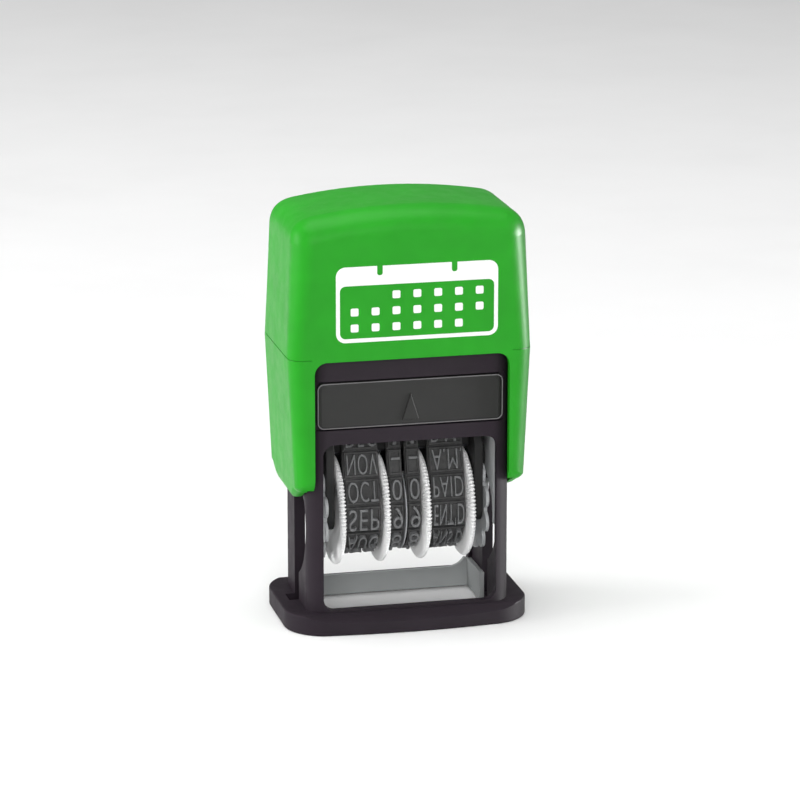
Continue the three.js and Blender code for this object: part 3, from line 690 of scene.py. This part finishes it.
def calendar_print():
    """A plain calendar page, printed on the front of the cap, and its separate days."""
    proud, sunk = 0.02, 0.03
    left, right, low, high, line, head = -12.2, 13.6, 47.2, 59.2, 0.62, 3.0
    front, back = cap_low.y - proud, cap_low.y + sunk
    page = prism(rounded(left, right, low, high, 1.5, 8), "y", front, back)
    inner = rounded(left + line, right - line, low + line, high - head, 0.9, 6)
    tools = [prism(inner, "y", -FAR, FAR)]
    ring_half, ring_depth = 0.45, 1.5
    for share in (0.27, 0.73):
        x = left + (right - left) * share
        notch = rounded(x - ring_half, x + ring_half, high - ring_depth, high + 1, 0.4, 6)
        tools.append(prism(notch, "y", -FAR, FAR))
    page = cut(page, *tools)
    columns, rows, dot = 7, 3, 1.25
    blank = ((0, 0), (0, 1), (rows - 1, columns - 1))
    step_x = (right - left - 2 * line) / (columns + 0.4)
    step_z = (high - head - low - line) / (rows + 0.3)
    days = []
    for row in range(rows):
        for column in range(columns):
            if (row, column) in blank:
                continue
            x = left + line + step_x * (column + 0.7)
            z = high - head - step_z * (row + 0.65)
            outline = rounded(x - dot / 2, x + dot / 2, z - dot / 2, z + dot / 2, 0.25, 4)
            days.append(prism(outline, "y", front, back))
    return page, days


def merge(objects):
    """Puts separate solids into the first one's mesh, without joining their surfaces."""
    bm = bmesh.new()
    for made in objects:
        bm.from_mesh(made.data)
    for made in objects:
        bpy.data.objects.remove(made)
    return object_of(bm)


page, days = calendar_print()
piece(merge([page, *days]), "cap_print", "cap", print_white)

# ---- Yoke ----------------------------------------------------------------------------------------


def yoke():
    """A bridge with two arms down the sides, each with a hook round the path of the turn pin."""
    arm_in, arm_out = yoke_high.x - 0.5, yoke_high.x
    arm_half, hook_depth, boss, cross = 4.5, 5.0, 2.3, 1.5
    hook_top, hook_front = pivot_z + 6.7, 1.4
    top = yoke_high.z
    made = block(-arm_out, arm_out, yoke_low.y, yoke_high.y, top - cross, top)
    parts = pair(arm_in, arm_out, -arm_half, arm_half, hook_top, top)
    parts += pair(arm_in, arm_out, hook_front, hook_depth, pivot_z, hook_top + 1)
    parts += pair(arm_in, arm_out, 0, hook_depth, pivot_z - boss, pivot_z)
    for x0, x1 in ((arm_in, arm_out), (-arm_out, -arm_in)):
        parts.append(prism(circle(0, pivot_z, boss), "x", x0, x1))
    made = joined(made, *parts)
    spring_hole, pin_hole = 5.05, 1.28
    made = cut(
        made,
        prism(circle(0, 0, spring_hole, 64), "z", top - cross - 1, top + 1),
        prism(circle(0, pivot_z, pin_hole), "x", -FAR, FAR),
    )
    return soften(made, 0.1)


piece(yoke(), "yoke_frame", "cap", dark, ["yoke"])

# ---- Return spring -------------------------------------------------------------------------------


def return_spring():
    """A coil with closed, flattened end turns."""
    wire, turns, closed, sides, steps = 0.45, 6.5, 1.0, 12, 40
    radius = spring_high.y - wire
    low, high = spring_low.z + wire, spring_high.z - wire
    pitch = (high - low - 2 * 2 * wire) / (turns - 2 * closed)

    def height(turn):
        if turn < closed:
            return low + 2 * wire * turn / closed
        if turn > turns - closed:
            return high - 2 * wire * (turns - turn) / closed
        return low + 2 * wire + pitch * (turn - closed)

    rings = []
    for k in range(int(turns * steps) + 1):
        turn = k / steps
        angle = 2 * math.pi * turn
        centre = Vector((radius * math.cos(angle), radius * math.sin(angle), height(turn)))
        out = Vector((math.cos(angle), math.sin(angle), 0))
        ring = []
        for j in range(sides):
            a = 2 * math.pi * j / sides
            ring.append(centre + wire * (out * math.cos(a) + Vector((0, 0, math.sin(a)))))
        rings.append(ring)
    return skin(rings)


spring = piece(return_spring(), "coil_spring", "base", steel, ["return_spring"])
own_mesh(spring)

# ---- Ink pad tray --------------------------------------------------------------------------------


def ink_pad_tray():
    """A tray with the pad below, a pull-out front with a raised border, and a raised arrow."""
    floor, top = tray_low.z, tray_high.z
    plan = rounded(-wall_out, wall_out, -wall_front, wall_front, frame_corner, 14)
    face_half = tray_high.x
    face = combined(
        "INTERSECT",
        prism(rounded(-face_half, face_half, floor, top, 1.1, 8), "y", -FAR, FAR),
        [prism(plan, "z", floor - 1, top + 1)],
    )
    face = cut(face, block(-FAR, FAR, tray_face_back, FAR, -FAR, FAR))
    body = block(-tray_half, tray_half, tray_face_back - 0.2, tray_high.y, floor, top)
    wall, pad_depth = 1.2, 6.55
    pad_half = tray_half - wall
    pad_top = felt_high.z + seat_gap
    made = cut(
        joined(face, body),
        block(-pad_half, pad_half, -pad_depth, pad_depth, 0, pad_top),
        block(-pad_half, pad_half, -pad_depth, pad_depth, pad_top + wall, FAR),
    )
    border, sink = 0.75, 0.1
    panel = rounded(border - face_half, face_half - border, floor - 1, top - border, 0.7, 6)
    made = cut(made, prism(panel, "y", tray_front - 1, tray_front + sink))
    width, height, lift = 2.7, 4.2, 0.9
    arrow = [Vector((-width / 2, floor + lift)), Vector((width / 2, floor + lift))]
    arrow.append(Vector((0, floor + lift + height)))
    made = joined(made, prism(arrow, "y", tray_low.y, tray_front + 1, 0.14, 2))
    return soften(made, 0.13, 3)


def drawer_highlight_rim():
    """A fine bead round the drawer's face, in a lighter grey that is a painted highlight along the
    face's edge.
    """
    margin, width, proud, sunk = 0.04, 0.15, 0.09, 0.2
    half, low, high = tray_high.x - margin, tray_low.z + margin, tray_high.z - margin
    outer = rounded(-half, half, low, high, 1.06, 8)
    inner = rounded(width - half, half - width, low + width, high - width, 0.9, 8)
    bead = prism(outer, "y", tray_front - proud, tray_front + sunk, 0.04, 2)
    return cut(bead, prism(inner, "y", -FAR, FAR))


felt_low, felt_high = span("ink_pad_felt")
piece(ink_pad_tray(), "drawer_tray", "pad", drawer, ["ink_pad_tray"])
# The rim bead's lighter grey paints the highlight round the drawer's face.
piece(drawer_highlight_rim(), "drawer_highlight_rim", "pad", drawer_highlight_grey)


def pad_block():
    """The pad, with its edges worn round."""
    outline = rounded(felt_low.x, felt_high.x, felt_low.y, felt_high.y, 0.5, 6)
    return prism(outline, "z", felt_low.z, felt_high.z, 0.35, 4)


pad = piece(pad_block(), "pad_felt", "pad", felt, ["ink_pad_felt"])

# ---- Date unit -----------------------------------------------------------------------------------

wheel_radius = span("thumbwheel_1")[1].y
drum_radius, axle_radius, pivot_hole, pivot_pin = 5.2, 1.3, 1.25, 1.2
band_gap, band_thickness, relief = 0.2, 1.3, 0.7
axle_drop = pivot_z - axle_z
pivot_to_type = pivot_pressed  # the type is on the paper then


def carriage_side(side):
    low, high = span(f"carriage_plate_{side}")
    half, shoulder, drop, corner = high.y, 4.2, 2.8, 2.2
    outline = arc(half - corner, low.z + corner, corner, -90, 0, 10)
    outline += [Vector((half, high.z - drop)), Vector((shoulder, high.z))]
    outline += [Vector((-shoulder, high.z)), Vector((-half, high.z - drop))]
    outline += arc(corner - half, low.z + corner, corner, 180, 270, 10)
    made = cut(
        prism(outline, "x", low.x, high.x),
        prism(circle(0, pivot_z, pivot_hole), "x", -FAR, FAR),
        prism(circle(0, axle_z, axle_radius + seat_gap), "x", -FAR, FAR),
    )
    return soften(made, 0.15)


def turn_cam(side, sign):
    """A lobed disc about the axle, a web up to the pivot, and the pin that turns the unit."""
    low, high = span(f"turn_cam_{side}")
    disc, lobes, lobe, boss, plate = 6.5, 10, 1.65, 2.6, 0.5
    pin, offset, shorter = 1.1, 5.0, 1.1  # the pin ends inside the wall's slot
    plate_in = carriage_outer + seat_gap
    x0, x1 = sorted((sign * plate_in, sign * (plate_in + plate)))
    outline = []
    steps = 240
    for k in range(steps):
        angle = 2 * math.pi * k / steps
        nearest = (angle * lobes / (2 * math.pi) + 0.5) % 1 - 0.5
        off = nearest * 2 * math.pi / lobes
        across = disc * math.sin(off)
        radius = disc
        if abs(across) < lobe:
            radius = max(disc, disc * math.cos(off) + math.sqrt(lobe**2 - across**2))
        outline.append(Vector((radius * math.sin(angle), axle_z + radius * math.cos(angle))))
    corners = ((-boss, axle_z), (boss, axle_z), (boss, pivot_z), (-boss, pivot_z))
    web = [Vector(corner) for corner in corners]
    pin_x = sorted((sign * plate_in, sign * (pin_end - shorter)))
    made = joined(
        prism(outline, "x", x0, x1),
        prism(web, "x", x0, x1),
        prism(circle(0, pivot_z, boss), "x", x0, x1),
        rod(pin, *pin_x, 0, pivot_z - offset, steps=40),
    )
    made = cut(
        made,
        prism(circle(0, pivot_z, pivot_hole), "x", -FAR, FAR),
        prism(circle(0, axle_z, axle_radius + seat_gap), "x", -FAR, FAR),
    )
    return soften(made, 0.09)


carriage_outer = span("carriage_plate_right")[1].x
pin_end = span("turn_cam_right")[1].x
for side, sign in (("left", -1), ("right", 1)):
    plate = carriage_side(side)
    piece(plate, f"carriage_side_{side}", "dater", dark, [f"carriage_plate_{side}"])
    cam = turn_cam(side, sign)
    piece(cam, f"cam_{side}", "dater", pale, [f"turn_cam_{side}"])
    pin_low, pin_high = span(f"pivot_pin_{side}")
    pin = rod(pivot_pin, pin_low.x, pin_high.x, 0, pivot_z)
    piece(pin, f"pivot_rod_{side}", "dater", steel, [f"pivot_pin_{side}"])

axle_low, axle_high = span("wheel_axle")
axle = rod(axle_radius, axle_low.x, axle_high.x, 0, axle_z)
piece(axle, "axle_rod", "dater", steel, ["wheel_axle"])

spacer_low, spacer_high = span("drum_spacer")
spacer_radius = spacer_high.y
spacer_edge = 0.04
bore = axle_radius + 0.08
disc = lathe(
    [
        (spacer_low.x, bore),
        (spacer_low.x, spacer_radius - spacer_edge),
        (spacer_low.x + spacer_edge, spacer_radius),
        (spacer_high.x - spacer_edge, spacer_radius),
        (spacer_high.x, spacer_radius - spacer_edge),
        (spacer_high.x, bore),
    ],
    120,
    (0, axle_z),
)
piece(disc, "spacer_disc", "dater", pale, ["drum_spacer"])

block_low, block_high = span("print_block")
platen_outline = rounded(block_low.y, block_high.y, block_low.z, block_high.z, 0.45, 6)
platen = prism(platen_outline, "x", block_low.x, block_high.x, 0.15, 3)
piece(platen, "platen_block", "dater", dark, ["print_block"])

# The detent spring gets the darker steel: painted shade where it sits in shadow at the top of the
# window.
comb = frame["nodes"]["detent_spring"]
comb.data.materials.clear()
comb.data.materials.append(dark_shade_steel)

# ---- Thumbwheels ---------------------------------------------------------------------------------

TEETH = 88


def toothed(x, radius, angle, middle):
    """Small round teeth round the rim, whose ends are rounded too."""
    zone, fade, depth, pull, fullness = 0.8, 0.3, 0.3, 0.85, 0.8
    start = wheel_radius - zone
    if radius < start:
        return x, radius
    valley = (1 - abs(math.sin(TEETH * angle / 2))) ** fullness
    valley *= min(1.0, (radius - start) / fade)
    return x + (middle - x) * pull * valley, radius - depth * valley


def thumbwheel(name, right):
    """A toothed wheel, with the drum for its band on the side towards the middle."""
    low, high = span(name)
    sign = -1 if right else 1
    outer = high.x if right else low.x
    inner = low.x if right else high.x
    rim, dish, hub = 1.05, 0.22, 2.6
    side = [
        (0.0, bore),
        (0.0, hub),
        (dish, hub + 0.3),
        (dish, wheel_radius - 2.0),
        (0.0, wheel_radius - 1.6),
        (0.0, wheel_radius - 0.62),
        (0.06, wheel_radius - 0.34),
        (0.2, wheel_radius - 0.1),
        (0.38, wheel_radius),
        (rim - 0.38, wheel_radius),
        (rim - 0.2, wheel_radius - 0.1),
        (rim - 0.06, wheel_radius - 0.34),
        (rim, wheel_radius - 0.62),
        (rim, drum_radius + 0.25),
        (rim + 0.12, drum_radius + 0.04),
        (rim + 0.3, drum_radius),
    ]
    profile = [(outer + sign * x, r) for x, r in side]
    profile += [(inner - sign * 0.1, drum_radius), (inner, drum_radius - 0.1), (inner, bore)]
    middle = outer + sign * rim / 2

    def moved(x, r, angle):
        return toothed(x, r, angle, middle)

    return lathe(profile, TEETH * 8, (0, axle_z), moved)


for number in range(1, 5):
    node = f"thumbwheel_{number}"
    wheel = thumbwheel(node, right=number > 2)
    body = f"wheel_{number}"
    piece(wheel, f"{body}_disc", body, white, [node], sharp=60)

# ---- Bands and their type ------------------------------------------------------------------------

ROWS = 13
drum_path = drum_radius + band_gap + band_thickness
platen_half, platen_corner = 1.9, 0.5
corner_path = platen_corner + band_thickness
platen_top = pivot_to_type - band_thickness - relief - platen_corner + axle_drop
platen_reach = math.hypot(platen_half, platen_top)
lean = math.atan2(platen_top, platen_half) - math.acos((drum_path - corner_path) / platen_reach)
straight = math.sqrt(platen_reach**2 - (drum_path - corner_path) ** 2)
corner_end = platen_half + corner_path * (QUARTER - lean)
straight_end = corner_end + straight
half_length = straight_end + drum_path * (QUARTER + lean)
pitch = 2 * half_length / ROWS


def band_point(along, out, x=0.0):
    """A point out from a band's outer face.

    along is how far round the band it is from the middle of the row that prints.
    """
    wrapped = along - 2 * half_length * round(along / (2 * half_length))
    side, s = (-1 if wrapped < 0 else 1), abs(wrapped)
    if s <= platen_half:
        y, z, angle = s, platen_top + corner_path, QUARTER
    elif s <= corner_end:
        angle = QUARTER - (s - platen_half) / corner_path
        y = platen_half + corner_path * math.cos(angle)
        z = platen_top + corner_path * math.sin(angle)
    elif s <= straight_end:
        angle, run = lean, s - corner_end
        y = platen_half + corner_path * math.cos(lean) + run * math.sin(lean)
        z = platen_top + corner_path * math.sin(lean) - run * math.cos(lean)
    else:
        angle = lean - (s - straight_end) / drum_path
        y, z = drum_path * math.cos(angle), drum_path * math.sin(angle)
    return Vector((x, side * (y + out * math.cos(angle)), axle_z + z + out * math.sin(angle)))


ROW_SHIFT = -0.6  # how far every row sits round from its even place
PLATE_HALF = 1.96
GROOVE, PLATE, PANEL = -0.3, 0.14, -0.02  # levels on a band, out from its face


def band_rings(low, high):
    """Cross-sections round a band: grooves between rows, and a raised border on each row."""
    margin, border, slope, worn = 0.12, 0.3, 0.08, 0.05
    rings = []
    for row in range(ROWS):
        middle = row * pitch + ROW_SHIFT
        stops = [(-pitch / 2, 0), (-PLATE_HALF - slope, 0), (-PLATE_HALF, 1)]
        stops += [(border - PLATE_HALF, 1), (border + slope - PLATE_HALF, 2)]
        inner = PLATE_HALF - border - slope
        stops += [(inner * share, 2) for share in (-0.75, -0.5, -0.25, 0, 0.25, 0.5, 0.75)]
        stops += [(inner, 2), (inner + slope, 1), (PLATE_HALF, 1), (PLATE_HALF + slope, 0)]
        for along, level in stops:
            edge = GROOVE if level == 0 else PLATE
            panel = (GROOVE, PLATE, PANEL)[level]
            s = middle + along
            outs = [
                (low + worn, -band_thickness),
                (high - worn, -band_thickness),
                (high, worn - band_thickness),
                (high, GROOVE - worn),
                (high - worn, GROOVE),
                (high - margin, GROOVE),
                (high - margin - slope, edge),
                (high - margin - border, edge),
                (high - margin - border - slope, panel),
                (low + margin + border + slope, panel),
                (low + margin + border, edge),
                (low + margin + slope, edge),
                (low + margin, GROOVE),
                (low + worn, GROOVE),
                (low, GROOVE - worn),
                (low, worn - band_thickness),
            ]
            rings.append([band_point(s, out, x) for x, out in outs])
    return rings


def capital_height():
    """How high the built-in letters' capitals are at size 1."""
    text = bpy.data.curves.new("capital", "FONT")
    text.body = "H"
    sample = new_object("capital", text)
    bpy.context.view_layer.update()
    height = sample.dimensions.y
    bpy.data.objects.remove(sample)
    return height


CAPITAL = capital_height()
LETTER_WIDTH = 6.2  # millimetres for each unit of the built-in letters


def flat_letters(word):
    """The built-in letters of a word as a mesh, with a little thickness."""
    text = bpy.data.curves.new("type", "FONT")
    text.body = word
    text.resolution_u = 5
    text.extrude = 0.5
    text.bevel_depth = 0.012
    text.bevel_resolution = 1
    text.offset = -0.02
    text.space_character = 1.08
    flat = new_object("type", text)
    bpy.context.view_layer.update()
    graph = bpy.context.evaluated_depsgraph_get()
    mesh = bpy.data.meshes.new_from_object(flat.evaluated_get(graph))
    bpy.data.objects.remove(flat)
    bm = bmesh.new()
    bm.from_mesh(mesh)
    bpy.data.meshes.remove(mesh)
    bmesh.ops.remove_doubles(bm, verts=bm.verts, dist=1e-4)
    return bm


def lettering(word, row, middle, room, height):
    """Raised mirror-image type on one row: flat letters, cut into strips and wrapped round."""
    sunk, proud, strips = -0.1, relief, 8
    bm = flat_letters(word)
    xs, _, zs = zip(*(v.co for v in bm.verts))
    wide = max(xs) - min(xs)
    scale_x = min(room, wide * LETTER_WIDTH) / wide
    for vert in bm.verts:
        u = (vert.co.x - (max(xs) + min(xs)) / 2) * scale_x
        v = (vert.co.y - CAPITAL / 2) / CAPITAL * height
        w = sunk + (vert.co.z - min(zs)) / (max(zs) - min(zs)) * (proud - sunk)
        vert.co = (u, v, w)
    for k in range(1, strips):
        place = (0, height * (k / strips - 0.5), 0)
        parts = bm.verts[:] + bm.edges[:] + bm.faces[:]
        bmesh.ops.bisect_plane(bm, geom=parts, plane_co=place, plane_no=(0, 1, 0), dist=SAME_POINT)
    for vert in bm.verts:
        u, v, w = vert.co
        vert.co = band_point(row * pitch + ROW_SHIFT - v, w, middle + u)
    return object_of(bm)


TYPE_HEIGHT = 3.25
# The first row of each band is blank, and faces the pad at rest.
MONTHS = ", JAN, FEB, MAR, APR, MAY, JUN, JUL, AUG, SEP, OCT, NOV, DEC".split(", ")
DIGITS = ", 1, 2, 3, 4, 5, 6, 7, 8, 9, 0, -, 1".split(", ")
WORDS = ", IN, OUT, FILED, SENT, C.O.D., CHK'D, REC'D, ANS'D, ENT'D, PAID, A.M., P.M.".split(", ")

for column, words in (("month", MONTHS), ("tens", DIGITS), ("units", DIGITS), ("words", WORDS)):
    node = f"date_band_{column}"
    low, high = span(node)
    band = skin(band_rings(low.x, high.x), closed=True)
    piece(band, f"band_{column}", "dater", band_rubber, [node], sharp=35)
    width, middle = high.x - low.x, (low.x + high.x) / 2
    room = width - (0.9 if width > 3 else 0.75)
    letters = [
        lettering(word, row, middle, room, TYPE_HEIGHT) for row, word in enumerate(words) if word
    ]
    piece(merge(letters), f"type_{column}", "dater", type_rubber, sharp=35)

# ---- Floor, light and camera ---------------------------------------------------------------------


def floor_sheet():
    """A wide sheet of pale paper."""
    half, clouds = 3.0, 40.0
    bm = bmesh.new()
    around = ((-half, -half), (half, -half), (half, half), (-half, half))
    bm.faces.new([bm.verts.new((x, y, 0)) for x, y in around])
    made = object_of(bm, "floor")
    nodes = Nodes("floor_paper")
    paper = nodes.ramp(nodes.noise(clouds, 3.0), (0.93, 0.93, 0.93), (0.96, 0.96, 0.96))
    nodes.link(paper, nodes.shader.inputs["Base Color"])
    nodes.set(Roughness=0.9, Specular_IOR_Level=0.1)
    made.data.materials.append(nodes.material)


floor_sheet()


def area_light(name, place, size, power, gloss_only=False):
    """A soft light that points at the middle of the object and isn't seen by the camera."""
    aim = Vector((0.0, 0.0, 0.035))
    data = bpy.data.lights.new(name, "AREA")
    data.shape = "RECTANGLE"
    data.size, data.size_y = size
    data.energy = power
    made = new_object(name, data)
    made.location = place
    made.rotation_euler = (aim - Vector(place)).to_track_quat("-Z", "Y").to_euler()
    made.visible_camera = False
    made.visible_diffuse = not gloss_only


area_light("key_left", (-1.4, 0.18, 0.42), (0.9, 0.7), 14.5)
area_light("top_soft", (-0.05, -0.05, 0.75), (0.7, 0.6), 4.6)
area_light("front_soft", (-0.2, -1.1, 0.5), (0.7, 0.5), 6.6)
area_light("rim_right", (0.6, -0.14, 0.08), (0.2, 0.22), 18.0, gloss_only=True)


def studio_world():
    """White surroundings: bright behind the object, dimmer in front, and plain to the camera."""
    front_y, back_y, front_light, back_light, seen = -0.9, 0.6, 0.1, 0.33, 1.0
    world = bpy.data.worlds.new("studio")
    scene.world = world
    world.use_nodes = True
    tree = world.node_tree
    direction = tree.nodes.new("ShaderNodeTexCoord").outputs["Generated"]
    split = tree.nodes.new("ShaderNodeSeparateXYZ")
    tree.links.new(direction, split.inputs["Vector"])
    depth = tree.nodes.new("ShaderNodeMapRange")
    tree.links.new(split.outputs["Y"], depth.inputs["Value"])
    depth.inputs["From Min"].default_value = front_y
    depth.inputs["From Max"].default_value = back_y
    depth.inputs["To Min"].default_value = front_light
    depth.inputs["To Max"].default_value = back_light
    path = tree.nodes.new("ShaderNodeLightPath")
    strength = tree.nodes.new("ShaderNodeMix")
    tree.links.new(path.outputs["Is Camera Ray"], strength.inputs[0])
    tree.links.new(depth.outputs["Result"], strength.inputs[2])
    strength.inputs[3].default_value = seen
    tree.links.new(strength.outputs[0], tree.nodes["Background"].inputs["Strength"])
    tree.nodes["Background"].inputs["Color"].default_value = (1, 1, 1, 1)


studio_world()
scene.view_settings.view_transform = "Standard"


def photo_camera():
    """The camera that was fitted to the photograph."""
    azimuth, elevation, distance = math.radians(-13.21), math.radians(15.11), 0.61842
    level = math.cos(elevation)
    back = Vector((math.sin(azimuth) * level, -math.cos(azimuth) * level, math.sin(elevation)))
    data = bpy.data.cameras.new("camera")
    data.lens, data.sensor_width = 175.26, 36
    data.clip_start, data.clip_end = 0.01, 20
    camera = new_object("camera", data)
    camera.location = Vector((0, 0, 0.033)) + back * distance
    aim = Vector((0.00057, 0, 0.03453))
    camera.rotation_euler = (aim - camera.location).to_track_quat("-Z", "Y").to_euler()
    scene.camera = camera


photo_camera()
